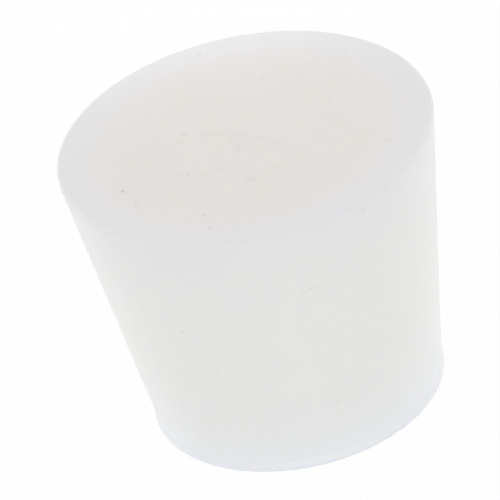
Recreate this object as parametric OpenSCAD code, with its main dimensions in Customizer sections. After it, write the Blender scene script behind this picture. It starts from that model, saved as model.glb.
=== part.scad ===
// Solid tapered stopper, moulded in one piece. It stands on its small end, with
// its axis on Z and the middle of the small end's face at the origin.

/* [Ends] */
// Diameter across the rounded rim of the large end
top_d = 32; // [26:0.5:60]
// Diameter that the tapered wall runs out to at the small end, without the lip
base_d = 24.5; // [14:0.5:31]
// Height from the small end's face to the large end's face
height = 25.7; // [12:0.1:60]

/* [Edges] */
// Radius of the rim round the large end
rim_r = 0.2; // [0.1:0.05:1.5]
// Height of the lip that flares out round the small end
lip_h = 1.2; // [0.8:0.1:4]
// How far the lip stands proud of the wall
lip_proud = 0.2; // [0.05:0.01:0.6]
// Radius of the lip's lower edge
lip_edge_r = 0.3; // [0.1:0.05:0.6]

/* [Hidden] */
$fn = 180;

// Places in the half section are [radius, height]
// Centre of the rim's arc
rim_centre = [top_d / 2 - rim_r, height - rim_r];
// The wall rises from the small end to the widest point of the rim
wall_top = [top_d / 2, rim_centre.y];
// Growth of the wall's radius for each unit of height
taper = (wall_top.x - base_d / 2) / wall_top.y;
// Where the wall meets the top of the lip
wall_foot = [wall_radius(lip_h), lip_h];
// Widest point of the lip, at the start of its rounded lower edge
lip_widest = [wall_radius(lip_edge_r) + lip_proud, lip_edge_r];
// Centre of the lower edge's arc, which touches the small end's plane
lip_centre = lip_widest - [lip_edge_r, 0];

// Radius of the tapered wall at a height z above the small end
function wall_radius(z) = base_d / 2 + taper * z;

// Right half of the stopper's section, with the axis on its left edge
module half_section() {
    polygon([
        [0, 0],
        [lip_centre.x, 0],
        lip_centre,
        lip_widest,
        wall_foot,
        wall_top,
        rim_centre,
        [rim_centre.x, height],
        [0, height],
    ]);
    translate(rim_centre)
        circle(r = rim_r);
    translate(lip_centre)
        circle(r = lip_edge_r);
}

// The whole stopper, one turned solid of milky silicone rubber
module stopper() {
    color([0.89, 0.875, 0.86])
        rotate_extrude()
            half_section();
}

stopper();
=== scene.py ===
"""A milky silicone stopper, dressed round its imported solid.

Lengths are in metres, in the solid's own frame: the stopper stands on its small end with its axis on Z.
Finishes work in millimetres, because their patterns are that fine.
"""

import logging
import math
from dataclasses import dataclass, field
from enum import Enum
from typing import Any, Iterable

import bmesh
import bpy
from mathutils import Matrix, Vector
from mathutils.geometry import interpolate_bezier
from mathutils.kdtree import KDTree


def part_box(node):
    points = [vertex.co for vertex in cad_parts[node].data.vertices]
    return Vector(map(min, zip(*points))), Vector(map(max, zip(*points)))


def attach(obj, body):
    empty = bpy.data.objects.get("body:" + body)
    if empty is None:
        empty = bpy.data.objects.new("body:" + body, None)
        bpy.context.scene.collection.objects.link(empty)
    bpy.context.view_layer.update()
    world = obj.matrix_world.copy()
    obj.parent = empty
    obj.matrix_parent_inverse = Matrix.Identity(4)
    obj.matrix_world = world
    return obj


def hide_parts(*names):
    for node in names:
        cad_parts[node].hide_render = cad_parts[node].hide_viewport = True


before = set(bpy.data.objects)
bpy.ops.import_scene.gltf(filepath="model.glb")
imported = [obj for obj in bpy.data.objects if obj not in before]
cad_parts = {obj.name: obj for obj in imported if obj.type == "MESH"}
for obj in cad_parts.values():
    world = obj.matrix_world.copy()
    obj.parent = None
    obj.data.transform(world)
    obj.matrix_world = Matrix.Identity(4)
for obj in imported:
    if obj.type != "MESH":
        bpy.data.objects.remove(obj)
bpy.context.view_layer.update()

MM = 0.001
NOISE_MIDDLE = 0.5
WHITE = (1.0, 1.0, 1.0, 1.0)
Colour = tuple[float, float, float]

log = logging.getLogger("stopper")


def linear(red: int, green: int, blue: int) -> Colour:
    """Turns a colour as a screen shows it into the linear values that a shader takes.

    Args:
        red: red, from 0 to 255.
        green: green, from 0 to 255.
        blue: blue, from 0 to 255.

    Returns:
        The three linear values, from 0 to 1.
    """
    shares = [level / 255 for level in (red, green, blue)]
    return tuple(s / 12.92 if s <= 0.04045 else ((s + 0.055) / 1.055) ** 2.4 for s in shares)


def smooth_step(share: float) -> float:
    """Eases a share that runs from 0 to 1, flat at both ends."""
    share = min(max(share, 0.0), 1.0)
    return share * share * (3 - 2 * share)


def arc(centre: Vector, radius: float, start: float, end: float, steps: int) -> list[Vector]:
    """Points along a circular arc in a section's plane.

    Args:
        centre: the arc's centre.
        radius: its radius.
        start: angle of its first point, in degrees from the section's outward axis.
        end: angle of its last point.
        steps: number of chords.

    Returns:
        The arc's points, both ends among them.
    """
    angles = [math.radians(start + (end - start) * i / steps) for i in range(steps + 1)]
    return [centre + radius * Vector((math.cos(a), math.sin(a))) for a in angles]


class Value:
    """A shader's number that takes part in Python sums: each operator adds one Math node."""

    def __init__(self, tree: bpy.types.NodeTree, socket: bpy.types.NodeSocket) -> None:
        """Wraps an output socket of a node tree."""
        self.tree = tree
        self.socket = socket

    def maths(self, operation: str, *operands: "Value | float") -> "Value":
        """Adds a Math node.

        Args:
            operation: the node's operation.
            operands: its inputs, in order.

        Returns:
            The node's result.
        """
        node = self.tree.nodes.new("ShaderNodeMath")
        node.operation = operation
        for socket, operand in zip(node.inputs, operands):
            if isinstance(operand, Value):
                self.tree.links.new(operand.socket, socket)
            else:
                socket.default_value = operand
        return Value(self.tree, node.outputs[0])

    def __add__(self, other: "Value | float") -> "Value":
        """Adds."""
        return self.maths("ADD", self, other)

    def __radd__(self, other: float) -> "Value":
        """Adds to a plain number."""
        return self.maths("ADD", other, self)

    def __sub__(self, other: "Value | float") -> "Value":
        """Subtracts."""
        return self.maths("SUBTRACT", self, other)

    def __rsub__(self, other: float) -> "Value":
        """Subtracts from a plain number."""
        return self.maths("SUBTRACT", other, self)

    def __mul__(self, other: "Value | float") -> "Value":
        """Multiplies."""
        return self.maths("MULTIPLY", self, other)

    def __rmul__(self, other: float) -> "Value":
        """Multiplies a plain number."""
        return self.maths("MULTIPLY", other, self)

    def __truediv__(self, other: "Value | float") -> "Value":
        """Divides."""
        return self.maths("DIVIDE", self, other)

    def __neg__(self) -> "Value":
        """Changes the sign."""
        return self.maths("MULTIPLY", self, -1.0)

    def fade(self) -> "Value":
        """Falls from 1 towards 0 as the value grows from 0, as e to the minus value."""
        return self.maths("EXPONENT", -self)

    def hypot(self, other: "Value") -> "Value":
        """Length of the two sides of a right angle."""
        return self.maths("SQRT", self * self + other * other)

    def at_least(self, other: "Value | float") -> "Value":
        """The larger of two values."""
        return self.maths("MAXIMUM", self, other)


class Graph:
    """The node tree of one material or of the world."""

    def __init__(self, tree: bpy.types.NodeTree) -> None:
        """Takes over a node tree and empties it."""
        self.tree = tree
        tree.nodes.clear()

    def node(
        self, kind: str, settings: dict[str, Any], sockets: dict[str | int, Any],
    ) -> bpy.types.Node:
        """Adds a node, sets it up and then fills its sockets.

        Args:
            kind: the node's type, without the words that all shader nodes start with.
            settings: the node's own settings, which come first because they choose its sockets.
            sockets: a value or a link for each input, by its name or, where names repeat, its number.

        Returns:
            The new node.
        """
        made = self.tree.nodes.new("ShaderNode" + kind)
        for name, setting in settings.items():
            setattr(made, name, setting)
        for key, given in sockets.items():
            socket = made.inputs[key] if isinstance(key, int) else self.named(made.inputs, key)
            if isinstance(given, Value):
                self.tree.links.new(given.socket, socket)
            else:
                socket.default_value = given
        return made

    @staticmethod
    def named(sockets: Iterable[bpy.types.NodeSocket], name: str) -> bpy.types.NodeSocket:
        """Finds the enabled socket that has the given name."""
        return next(s for s in sockets if s.name == name and s.enabled)

    def value(self, node: bpy.types.Node, output: str) -> Value:
        """Wraps the enabled output of a node that has the given name."""
        return Value(self.tree, self.named(node.outputs, output))

    def mix(self, factor: Value, first: Any, second: Any) -> Value:
        """Mixes two colours.

        Args:
            factor: share of the second colour.
            first: a colour's four values or a link to one.
            second: the same, for the second colour.

        Returns:
            The mixed colour.
        """
        made = self.node("Mix", {"data_type": "RGBA"}, {"Factor": factor, "A": first, "B": second})
        return self.value(made, "Result")

    def between(self, value: Value, low: float, high: float) -> Value:
        """Eases from 0 at the low value to 1 at the high one, and stays there outside them."""
        settings = {"interpolation_type": "SMOOTHSTEP", "clamp": True}
        made = self.node("MapRange", settings, {"Value": value, "From Min": low, "From Max": high})
        return self.value(made, "Result")

    def noise(self, place: Value, scale: float, detail: float = 2.0) -> Value:
        """Soft noise about its middle value over a place in millimetres.

        Args:
            place: the vector that the noise reads.
            scale: how many grains lie in a millimetre.
            detail: number of finer layers.

        Returns:
            The noise.
        """
        made = self.node("TexNoise", {}, {"Vector": place, "Scale": scale, "Detail": detail})
        return self.value(made, "Fac")


class Place:
    """Where on the stopper a shader works, in millimetres from the middle of its foot."""

    def __init__(self, graph: Graph) -> None:
        """Reads the object's own coordinates.

        Args:
            graph: the material's nodes.
        """
        spot = graph.value(graph.node("TexCoord", {}, {}), "Object")
        scaled = graph.node("VectorMath", {"operation": "SCALE"}, {"Vector": spot, "Scale": 1 / MM})
        self.vector = graph.value(scaled, "Vector")
        parts = graph.node("SeparateXYZ", {}, {"Vector": self.vector})
        self.x, self.y, self.z = (graph.value(parts, axis) for axis in "XYZ")
        self.out = self.x.hypot(self.y)


class Skin(Enum):
    """The two faces of the stopper that a fleck can lie on."""

    TOP = "top"
    WALL = "wall"


@dataclass(frozen=True)
class Fleck:
    """A speck of dust moulded into the skin.

    A fleck on the top face is placed by its X and Y, in millimetres. One on the wall is placed by its
    angle round the axis, in degrees, and its height, in millimetres.
    """

    skin: Skin
    first: float
    second: float
    depth: float


@dataclass(frozen=True)
class Scratch:
    """A hairline on the wall, as a row of flecks that overlap.

    Each end is an angle round the axis, in degrees, and a height, in millimetres.
    """

    start: tuple[float, float]
    end: tuple[float, float]
    depth: float
    steps: int = 6

    def flecks(self) -> list[Fleck]:
        """The flecks that make the line."""
        ends = Vector(self.start), Vector(self.end)
        places = [ends[0].lerp(ends[1], i / self.steps) for i in range(self.steps + 1)]
        return [Fleck(Skin.WALL, *place, self.depth) for place in places]


@dataclass(frozen=True)
class SizeNumeral:
    """A plain size number, six, drawn with one thin line: a round bowl and a hooked stem.

    The drawing stands upright about its own middle. It is then turned and set on the top face. The pulls
    and the tip's lean bend the stem and the hook, and are shares of the lengths that they work along.
    """

    bowl_radius: float = 3.1 * MM
    bowl_drop: float = 2.1 * MM
    stem_rise: float = 5.2 * MM
    stem_lean: float = 0.4 * MM
    hook_reach: float = 3.9 * MM
    hook_rise: float = 2.8 * MM
    stem_pull: float = 0.5
    crown_pull: float = 0.65
    hook_pull: float = 0.5
    tip_pull: float = 0.55
    tip_lean: float = 0.12
    line_width: float = 0.9 * MM
    line_edge: float = 0.3 * MM
    line_depth: float = 0.015 * MM
    middle: tuple[float, float] = (-1.9 * MM, -2.0 * MM)
    turn: float = math.radians(-110)
    margin: float = 0.8 * MM
    grid_pitch: float = 0.09 * MM
    curve_steps: int = 240

    def drawing(self) -> list[Vector]:
        """Points along the number's line, upright and about its own middle."""
        bowl = arc(Vector((0, -self.bowl_drop)), self.bowl_radius, 0, 360, self.curve_steps)
        shoulder = Vector((-self.bowl_radius, -self.bowl_drop))
        crown = Vector((self.stem_lean, self.stem_rise))
        tip = Vector((self.hook_reach, self.hook_rise))
        rise = Vector((0, self.stem_pull * (self.stem_rise + self.bowl_drop)))
        sweep = Vector((self.crown_pull * self.bowl_radius, 0))
        hook = Vector((self.hook_pull * (self.hook_reach - self.stem_lean), 0))
        fall = self.tip_pull * (self.stem_rise - self.hook_rise)
        drop = Vector((-self.tip_lean * self.bowl_radius, fall))
        stem = interpolate_bezier(shoulder, shoulder + rise, crown - sweep, crown, self.curve_steps)
        curl = interpolate_bezier(crown, crown + hook, tip + drop, tip, self.curve_steps)
        return [*bowl, *stem, *curl]

    def reach(self) -> tuple[Vector, Vector]:
        """Lowest and highest corner of the drawing, with a clear margin round the line."""
        points = self.drawing()
        edge = Vector((self.margin, self.margin))
        low = Vector(min(p[i] for p in points) for i in range(2))
        high = Vector(max(p[i] for p in points) for i in range(2))
        return low - edge, high + edge

    def placing(self, height: float) -> Matrix:
        """Matrix that sets the drawing on a level face.

        Args:
            height: the face's height.

        Returns:
            The turn about Z and the move to the number's place.
        """
        return Matrix.Translation((*self.middle, height)) @ Matrix.Rotation(self.turn, 4, "Z")

    def depth_at(self, distance: float) -> float:
        """Share of the line's depth at a distance from its middle: 1 on its floor and 0 beside it."""
        return smooth_step((self.line_width / 2 - distance) / self.line_edge)


@dataclass(frozen=True)
class Silicone:
    """Milky silicone rubber, with painted light: a warm core, cool thin edges, a lighter foot and a
    bright lip stand in for light that it lets through, and a darker rim edge is painted shade.

    Reaches, the top band and the sizes of flecks and dust are in millimetres, and scales are in grains a
    millimetre. Over the top band, which lies below the large end, the wall's colour gives way to the
    large end's. The other bands are stretches of noise.
    """

    # Painted light: the warm core and the cool rim stand in for light passing through the large end's
    # thin edge
    core: Colour = linear(227, 223, 219)
    rim: Colour = linear(226, 225, 227)
    # Painted shade: edge darkens the rim's rounded edge
    edge: Colour = linear(223, 223, 224)
    # Painted light: the foot is lighter than the shoulder, so the wall is lighter towards the bottom
    shoulder: Colour = linear(226, 226, 228)
    foot: Colour = linear(230, 230, 226)
    # Painted light: the lip's bright cool tone stands in for light through the thin lip
    lip: Colour = linear(235, 238, 243)
    cloud: Colour = linear(221, 217, 213)
    dust: Colour = linear(120, 116, 112)
    top_band: tuple[float, float] = (0.06, 0.02)
    painted_warmth_reach: float = 6.0
    painted_rim_shade_reach: float = 0.15
    painted_wall_light_reach: float = 6.0
    painted_lip_light_reach: float = 4.0
    cloud_scale: float = 0.16
    cloud_band: tuple[float, float] = (0.45, 0.75)
    cloud_share: float = 0.3
    groove_layer: str = "groove"
    # Painted shade, with dust, in the number's sunk line
    groove_shade_and_dust_share: float = 0.05
    wear_scale: float = 1.5
    wear_band: tuple[float, float] = (0.35, 0.65)
    fleck_size: float = 0.26
    dust_pitch: float = 2.2
    dust_size: float = 0.085
    dust_core: float = 0.5
    dust_share: float = 0.12
    roughness: float = 0.3
    sheen_scale: float = 0.35
    sheen_drift: float = 0.05
    refraction: float = 1.41
    # Light goes in only a little way, because a deeper scatter draws a bright line along the rim
    scatter: float = 0.12 * MM
    scatter_radius: Colour = (0.9, 1.0, 1.15)
    grain_scale: float = 2.2
    grain_height: float = 0.01
    fine_detail: float = 3.0

    def material(self, name: str, body: "Stopper") -> bpy.types.Material:
        """Makes the material.

        Args:
            name: the material's name.
            body: the stopper, whose rims the painted cool edges follow.

        Returns:
            The material.
        """
        made = bpy.data.materials.new(name)
        made.use_nodes = True
        graph = Graph(made.node_tree)
        place = Place(graph)
        colour = self.milk_and_painted_light(graph, place, body)
        colour = self.specks(graph, place, colour, body)
        wander = graph.noise(place.vector, self.sheen_scale)
        relief = self.grain_height * graph.noise(place.vector, self.grain_scale, self.fine_detail)
        skin = graph.node("Bump", {}, {"Strength": 1.0, "Distance": MM, "Height": relief})
        shader = graph.node("BsdfPrincipled", {"subsurface_method": "RANDOM_WALK_SKIN"}, {
            "Base Color": colour,
            "Roughness": self.roughness + self.sheen_drift * (wander - NOISE_MIDDLE),
            "IOR": self.refraction,
            "Subsurface Weight": 1.0,
            "Subsurface Radius": self.scatter_radius,
            "Subsurface Scale": self.scatter,
            "Subsurface IOR": self.refraction,
            "Normal": graph.value(skin, "Normal"),
        })
        graph.node("OutputMaterial", {}, {"Surface": graph.value(shader, "BSDF")})
        return made

    def milk_and_painted_light(self, graph: Graph, place: Place, body: "Stopper") -> Value:
        """The rubber's colour with painted light and shade: warm inside, cool along the rims, lighter low
        on the wall, bright and cool at the lip and darker on the rims' rounded edge; only the faint cloud
        is the rubber's own.

        Args:
            graph: the material's nodes.
            place: where on the stopper.
            body: the stopper.

        Returns:
            The colour.
        """
        height = body.height / MM
        inward = body.top_radius / MM - place.out
        on_top = graph.between(place.z, height - self.top_band[0], height - self.top_band[1])
        below = height - place.z
        # Painted light: the wall is lighter towards its foot
        wall = graph.mix((below / self.painted_wall_light_reach).fade(), (*self.foot, 1), (*self.shoulder, 1))
        haze = graph.noise(place.vector, self.cloud_scale, self.fine_detail)
        cloud = graph.between(haze, *self.cloud_band)
        core = graph.mix(self.cloud_share * cloud, (*self.core, 1), (*self.cloud, 1))
        # Painted light: the large end goes from its cool rim to its warm core
        top = graph.mix(graph.between(inward, 0, self.painted_warmth_reach), (*self.rim, 1), core)
        skin = graph.mix(on_top, wall, top)
        # Painted shade on the rim's rounded edge
        skin = graph.mix((inward.hypot(below) / self.painted_rim_shade_reach).fade(), skin, (*self.edge, 1))
        # Painted light: the lip is bright and cool
        return graph.mix((place.z / self.painted_lip_light_reach).fade(), skin, (*self.lip, 1))

    def specks(self, graph: Graph, place: Place, colour: Value, body: "Stopper") -> Value:
        """Lays dust, flecks, scratches and the number's line, painted shade with dust in it, over a
        colour.

        Args:
            graph: the material's nodes.
            place: where on the stopper.
            colour: the rubber's colour.
            body: the stopper.

        Returns:
            The colour with the specks in it.
        """
        cells = graph.node("TexVoronoi", {}, {"Vector": place.vector, "Scale": 1 / self.dust_pitch})
        to_dust = graph.value(cells, "Distance") * self.dust_pitch
        marks = 1 - graph.between(to_dust, self.dust_core * self.dust_size, self.dust_size)
        marks = self.dust_share * marks
        for fleck in body.flecks:
            middle = tuple(body.fleck_place(fleck) / MM)
            away = graph.node("VectorMath", {"operation": "DISTANCE"}, {0: place.vector, 1: middle})
            spot = 1 - graph.between(graph.value(away, "Value"), 0, self.fleck_size)
            marks = marks.at_least(fleck.depth * spot)
        # Painted shade, with dust, darkens the number's sunk line in worn patches
        line = graph.node("Attribute", {"attribute_name": self.groove_layer}, {})
        worn = graph.between(graph.noise(place.vector, self.wear_scale), *self.wear_band)
        marks = marks.at_least(self.groove_shade_and_dust_share * worn * graph.value(line, "Fac"))
        # The dust colour also paints the shade in the number's line
        return graph.mix(marks, colour, (*self.dust, 1))


@dataclass
class Stopper:
    """The moulded stopper: a turned body with a lip, and a size number sunk into its large end."""

    top_radius: float
    height: float
    base_radius: float = 12.25 * MM
    rim_radius: float = 0.2 * MM
    lip_height: float = 1.2 * MM
    lip_proud: float = 0.2 * MM
    lip_edge: float = 0.3 * MM
    flat_border: float = 0.15 * MM
    wall_rings: int = 16
    arc_steps: int = 8
    flare_steps: int = 10
    turn_steps: int = 256
    weld: float = 0.001 * MM
    numeral: SizeNumeral = field(default_factory=SizeNumeral)
    finish: Silicone = field(default_factory=Silicone)
    flecks: tuple[Fleck, ...] = ()

    @classmethod
    def from_solid(cls, node: str, **parts: Any) -> "Stopper":
        """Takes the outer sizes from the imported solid.

        Args:
            node: the solid's name.
            parts: the other fields.

        Returns:
            A stopper of the solid's size.
        """
        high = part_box(node)[1]
        return cls(top_radius=high.x, height=high.z, **parts)

    @property
    def lip_radius(self) -> float:
        """Radius at the lip's widest point."""
        return self.wall_radius(self.lip_edge) + self.lip_proud

    def wall_radius(self, height: float) -> float:
        """Radius of the tapered wall at a height."""
        wall_top = self.height - self.rim_radius
        return self.base_radius + (self.top_radius - self.base_radius) * height / wall_top

    def fleck_place(self, fleck: Fleck) -> Vector:
        """Where a fleck lies on the skin."""
        if fleck.skin is Skin.TOP:
            return Vector((fleck.first * MM, fleck.second * MM, self.height))
        angle = math.radians(fleck.first)
        out = self.wall_radius(fleck.second * MM)
        return Vector((out * math.cos(angle), out * math.sin(angle), fleck.second * MM))

    def half_section(self) -> list[Vector]:
        """Half the body's outline as radius and height, from the foot's middle to the flat of the top."""
        lip_centre = Vector((self.lip_radius - self.lip_edge, self.lip_edge))
        rim_centre = Vector((self.top_radius - self.rim_radius, self.height - self.rim_radius))
        outline = [Vector((0, 0)), Vector((lip_centre.x - self.flat_border, 0))]
        outline += arc(lip_centre, self.lip_edge, -90, 0, self.arc_steps)
        for i in range(1, self.flare_steps + 1):
            share = i / self.flare_steps
            z = self.lip_edge + (self.lip_height - self.lip_edge) * share
            outline.append(Vector((self.wall_radius(z) + self.lip_proud * (1 - smooth_step(share)), z)))
        for i in range(1, self.wall_rings):
            z = self.lip_height + (rim_centre.y - self.lip_height) * i / self.wall_rings
            outline.append(Vector((self.wall_radius(z), z)))
        outline += arc(rim_centre, self.rim_radius, 0, 90, self.arc_steps)
        outline.append(Vector((rim_centre.x - self.flat_border, self.height)))
        return outline

    def turn_body(self, shape: bmesh.types.BMesh) -> None:
        """Spins the half section into the body, which is then open over the top face."""
        points = [shape.verts.new((p.x, 0, p.y)) for p in self.half_section()]
        edges = [shape.edges.new(pair) for pair in zip(points, points[1:])]
        bmesh.ops.spin(
            shape, geom=points + edges, cent=(0, 0, 0), axis=(0, 0, 1),
            angle=2 * math.pi, steps=self.turn_steps, use_merge=True,
        )
        bmesh.ops.remove_doubles(shape, verts=shape.verts, dist=self.weld)

    def close_top(self, shape: bmesh.types.BMesh) -> list[bmesh.types.BMVert]:
        """Lays a fine grid where the number goes and fills the flat face round it.

        Args:
            shape: the body, open over its top face.

        Returns:
            The grid's points.
        """
        low, high = self.numeral.reach()
        span = high - low
        middle = (low + high) / 2
        counts = [round(side / self.numeral.grid_pitch) for side in span]
        place = self.numeral.placing(self.height) @ Matrix.Translation((*middle, 0))
        grid = bmesh.ops.create_grid(
            shape, x_segments=counts[0], y_segments=counts[1], size=0.5,
            matrix=place @ Matrix.Diagonal((*span, 1, 1)),
        )
        rings = [edge for edge in shape.edges if edge.is_boundary]
        bmesh.ops.triangle_fill(shape, edges=rings, use_beauty=True, normal=(0, 0, 1))
        return grid["verts"]

    def sink_number(self, shape: bmesh.types.BMesh, points: Iterable[bmesh.types.BMVert]) -> None:
        """Presses the number's line into the top face, and notes how deep each point went.

        Args:
            shape: the closed body.
            points: the grid's points on the top face.
        """
        layer = shape.verts.layers.float[self.finish.groove_layer]
        place = self.numeral.placing(self.height)
        line = [place @ p.to_3d() for p in self.numeral.drawing()]
        tree = KDTree(len(line))
        for i, point in enumerate(line):
            tree.insert(point, i)
        tree.balance()
        for point in points:
            share = self.numeral.depth_at(tree.find(point.co)[2])
            point[layer] = share
            point.co.z -= share * self.numeral.line_depth

    def build(self) -> bpy.types.Object:
        """Models the stopper as one closed mesh and dresses it.

        Returns:
            The stopper's object, on its body and in the solid's place.
        """
        shape = bmesh.new()
        shape.verts.layers.float.new(self.finish.groove_layer)
        self.turn_body(shape)
        points = self.close_top(shape)
        self.sink_number(shape, points)
        bmesh.ops.recalc_face_normals(shape, faces=shape.faces)
        for face in shape.faces:
            face.smooth = True
        mesh = bpy.data.meshes.new("moulded_stopper")
        shape.to_mesh(mesh)
        shape.free()
        piece = bpy.data.objects.new("moulded_stopper", mesh)
        bpy.context.scene.collection.objects.link(piece)
        mesh.materials.append(self.finish.material("milky_silicone", self))
        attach(piece, "root")
        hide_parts("stopper")
        return piece


@dataclass(frozen=True)
class Panel:
    """A soft rectangular light that faces the stopper.

    Its azimuth and elevation are in degrees, as seen from the stopper, with 0 on the camera's side.
    A light that isn't mirrored still lights the stopper, but its satin skin shows no patch of it.
    """

    name: str
    azimuth: float
    elevation: float
    power: float
    distance: float = 600 * MM
    width: float = 400 * MM
    height: float = 400 * MM
    mirrored: bool = True

    def place(self, target: Vector) -> bpy.types.Object:
        """Hangs the light.

        Args:
            target: the point that it faces.

        Returns:
            The lamp's object.
        """
        lamp = bpy.data.lights.new(self.name, "AREA")
        lamp.shape = "RECTANGLE"
        lamp.size = self.width
        lamp.size_y = self.height
        lamp.energy = self.power
        made = bpy.data.objects.new(self.name, lamp)
        made.visible_glossy = self.mirrored
        bpy.context.scene.collection.objects.link(made)
        away = direction(math.radians(self.azimuth), math.radians(self.elevation))
        made.location = target + away * self.distance
        made.rotation_euler = away.to_track_quat("Z", "Y").to_euler()
        return made


def direction(azimuth: float, elevation: float) -> Vector:
    """Unit vector from the stopper outwards, with azimuth 0 towards -Y and 90 degrees towards +X."""
    level = math.cos(elevation)
    return Vector((math.sin(azimuth) * level, -math.cos(azimuth) * level, math.sin(elevation)))


@dataclass(frozen=True)
class Viewpoint:
    """The camera, where the photograph was taken from.

    Pixels are those of the photograph's square frame, counted from its upper left corner. The sensor's
    width is in millimetres.
    """

    elevation: float = math.radians(33.13)
    lean: float = math.radians(12.53)
    distance: float = 800 * MM
    pixels_per_mm: float = 11.869
    frame_side: float = 500
    target_pixel: tuple[float, float] = (272.4, 262.3)
    sensor: float = 36

    def place(self, target: Vector) -> bpy.types.Object:
        """Sets up the camera and makes it the scene's own.

        Args:
            target: the point that lands on the target pixel.

        Returns:
            The camera's object.
        """
        lens = bpy.data.cameras.new("viewpoint")
        lens.sensor_width = self.sensor
        lens.lens = self.sensor * self.pixels_per_mm * self.distance / MM / self.frame_side
        made = bpy.data.objects.new("viewpoint", lens)
        bpy.context.scene.collection.objects.link(made)
        back = direction(0, self.elevation)
        level = Vector((1, 0, 0))
        upright = back.cross(level)
        right = math.cos(self.lean) * level - math.sin(self.lean) * upright
        up = math.sin(self.lean) * level + math.cos(self.lean) * upright
        pixel = MM / self.pixels_per_mm
        aside = (self.frame_side / 2 - self.target_pixel[0]) * pixel
        above = (self.target_pixel[1] - self.frame_side / 2) * pixel
        spot = target + back * self.distance + right * aside + up * above
        axes = Matrix((right, up, back)).transposed().to_4x4()
        made.matrix_world = Matrix.Translation(spot) @ axes
        bpy.context.scene.camera = made
        return made


@dataclass(frozen=True)
class Studio:
    """A white floor under plain soft light."""

    floor_side: float = 6.0
    floor_drop: float = 0.02 * MM
    paper: Colour = (0.95, 0.95, 0.95)
    glow: float = 0.94
    ambient: float = 0.605
    panels: tuple[Panel, ...] = (
        Panel("front_left_panel", azimuth=-54, elevation=20, power=1.0, mirrored=False),
        Panel("front_right_panel", azimuth=54, elevation=20, power=1.0, mirrored=False),
        Panel("back_left_panel", azimuth=-150, elevation=38, power=0.57),
        Panel("back_right_panel", azimuth=150, elevation=38, power=0.57),
        Panel(
            "back_strip", azimuth=180, elevation=39, power=0.00024,
            distance=28.3 * MM, width=30 * MM, height=6 * MM,
        ),
    )

    @staticmethod
    def seen(graph: Graph) -> Value:
        """1 for what the camera, a reflection or clear matter sees, and 0 for what lights the stopper."""
        rays = graph.node("LightPath", {}, {})
        camera = graph.value(rays, "Is Camera Ray")
        glossy = graph.value(rays, "Is Glossy Ray")
        through = graph.value(rays, "Is Transmission Ray")
        return camera.at_least(glossy).at_least(through)

    def lay_floor(self) -> bpy.types.Object:
        """Lays the white floor, which takes the stopper's shadow.

        Returns:
            The floor's object.
        """
        shape = bmesh.new()
        bmesh.ops.create_grid(shape, x_segments=1, y_segments=1, size=self.floor_side / 2)
        bmesh.ops.translate(shape, verts=shape.verts, vec=(0, 0, -self.floor_drop))
        mesh = bpy.data.meshes.new("floor")
        shape.to_mesh(mesh)
        shape.free()
        floor = bpy.data.objects.new("floor", mesh)
        bpy.context.scene.collection.objects.link(floor)
        paper = bpy.data.materials.new("white_paper")
        paper.use_nodes = True
        graph = Graph(paper.node_tree)
        matt = graph.value(graph.node("BsdfDiffuse", {}, {"Color": (*self.paper, 1)}), "BSDF")
        white = graph.value(graph.node("Emission", {}, {"Color": WHITE, "Strength": 1.0}), "Emission")
        both = graph.node("MixShader", {}, {0: self.glow * self.seen(graph), 1: matt, 2: white})
        graph.node("OutputMaterial", {}, {"Surface": graph.value(both, "Shader")})
        mesh.materials.append(paper)
        return floor

    def light_sky(self) -> None:
        """Fills the room with even white light, and shows white behind the stopper."""
        world = bpy.data.worlds.new("studio")
        world.use_nodes = True
        graph = Graph(world.node_tree)
        seen = self.seen(graph)
        strength = self.ambient + (1 - self.ambient) * seen
        sky = graph.node("Background", {}, {"Color": WHITE, "Strength": strength})
        graph.node("OutputWorld", {}, {"Surface": graph.value(sky, "Background")})
        bpy.context.scene.world = world

    def build(self, target: Vector) -> None:
        """Lays the floor, lights the room and hangs the panels.

        Args:
            target: the point that the panels face.
        """
        self.lay_floor()
        self.light_sky()
        for panel in self.panels:
            panel.place(target)


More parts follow.
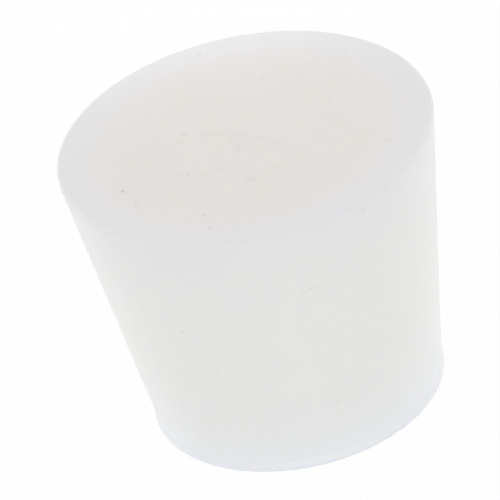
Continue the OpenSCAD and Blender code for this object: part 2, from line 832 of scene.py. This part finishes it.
FLECKS = (
    Fleck(Skin.TOP, -10.9, -4.2, 0.45),
    Fleck(Skin.TOP, -2.2, 14.1, 0.22),
    Fleck(Skin.TOP, -10.0, -6.3, 0.22),
    Fleck(Skin.TOP, -4.7, -10.5, 0.22),
    Fleck(Skin.TOP, -4.9, 2.3, 0.2),
    Fleck(Skin.TOP, -4.5, -12.6, 0.18),
    Fleck(Skin.TOP, 9.8, 9.7, 0.15),
    Fleck(Skin.TOP, 2.6, 8.3, 0.15),
    Fleck(Skin.TOP, -5.3, -3.8, 0.18),
    Fleck(Skin.TOP, 6.9, 8.9, 0.12),
    Fleck(Skin.TOP, 7.6, 3.0, 0.15),
    Fleck(Skin.TOP, -3.3, 1.4, 0.12),
    Fleck(Skin.TOP, 11.4, -5.4, 0.15),
    Fleck(Skin.TOP, 6.1, 2.6, 0.12),
    Fleck(Skin.TOP, 8.4, -10.1, 0.12),
    Fleck(Skin.TOP, 4.5, 4.7, 0.1),
    Fleck(Skin.TOP, 12.4, -1.3, 0.1),
    Fleck(Skin.TOP, 1.4, -8.2, 0.1),
    Fleck(Skin.WALL, -59, 24.8, 0.15),
    Fleck(Skin.WALL, -126, 15.8, 0.15),
    Fleck(Skin.WALL, -140, 6.1, 0.15),
    Fleck(Skin.WALL, -66, 14.0, 0.12),
    Fleck(Skin.WALL, -55, 10.6, 0.12),
    Fleck(Skin.WALL, -78, 6.4, 0.1),
    Fleck(Skin.WALL, -77, 22.5, 0.1),
    Fleck(Skin.WALL, -145, 20.0, 0.1),
    Fleck(Skin.WALL, -30, 12.3, 0.1),
    Fleck(Skin.WALL, -53, 12.9, 0.1),
    Fleck(Skin.WALL, -118, 11.3, 0.1),
    Fleck(Skin.WALL, 12, 20.5, 0.15),
    Fleck(Skin.WALL, 38, 8.7, 0.12),
    Fleck(Skin.WALL, 61, 16.2, 0.2),
    Fleck(Skin.WALL, 84, 22.9, 0.1),
    Fleck(Skin.WALL, 97, 5.4, 0.15),
    Fleck(Skin.WALL, 123, 13.6, 0.12),
    Fleck(Skin.WALL, 149, 18.8, 0.1),
    Fleck(Skin.WALL, 168, 9.9, 0.15),
    *Scratch((-82.5, 19.0), (-78.0, 19.3), 0.07).flecks(),
)


def main() -> None:
    """Builds the stopper, the studio and the camera, in that order."""
    logging.basicConfig(level=logging.INFO, format="%(name)s: %(message)s")
    stopper = Stopper.from_solid("stopper", flecks=FLECKS)
    piece = stopper.build()
    log.info("%s has %d faces", piece.name, len(piece.data.polygons))
    middle = Vector((0, 0, stopper.height / 2))
    studio = Studio()
    studio.build(middle)
    log.info("the studio has %d panels", len(studio.panels))
    camera = Viewpoint().place(middle)
    log.info("%s has a lens of %.0f mm", camera.name, camera.data.lens)
    bpy.context.scene.view_settings.view_transform = "Standard"


if __name__ == "__main__":
    main()
